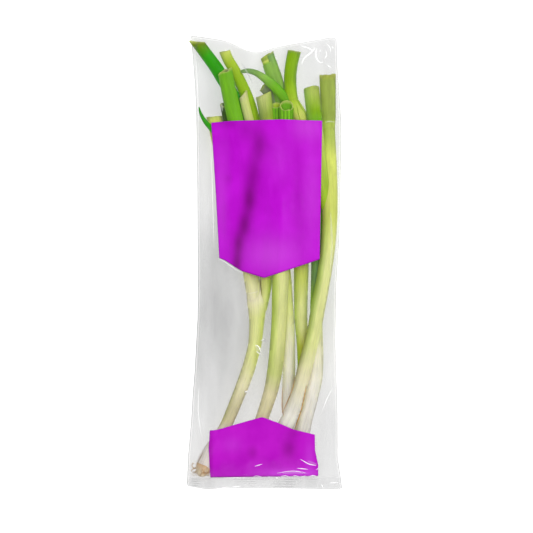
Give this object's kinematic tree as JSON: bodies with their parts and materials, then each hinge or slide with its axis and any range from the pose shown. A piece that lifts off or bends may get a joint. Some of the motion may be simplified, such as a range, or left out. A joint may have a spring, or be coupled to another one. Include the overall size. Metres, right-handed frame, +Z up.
{
  "type": "spring onion bunch",
  "caption": "Spring onions with bulbs, roots and cut hollow leaves, lying flat in a clear film bag that is sealed at the root end and open at the leaf end, with printed label panels.",
  "frame": {"origin": "on the surface that the bag lies on, under the middle of the bag's outline", "axes": "+X across the bag to the picture's right, +Y along the bag from the roots to the open mouth, +Z up"},
  "size_m": [0.125, 0.3635, 0.0286],
  "materials": {
    "film": "thin clear film, slightly milky, glossy, with soft folds and a crimped seal",
    "label": "opaque purple ink printed on the film, glossy",
    "onion": "moist plant skin, white at the bulb, pale yellow-green along the stem and deep green at the leaf tips, with fine lengthwise veins",
    "roots": "dry tan root plate and roots, matt"
  },
  "bodies": {
    "root": {"film_bag": "film", "label_upper": "label", "label_lower": "label", "onion_1": "onion", "onion_2": "onion", "onion_3": "onion", "onion_4": "onion", "onion_5": "onion", "onion_6": "onion", "onion_1_roots": "roots", "onion_2_roots": "roots", "onion_3_roots": "roots", "onion_4_roots": "roots", "onion_5_roots": "roots", "onion_6_roots": "roots"}
  },
  "joints": []
}
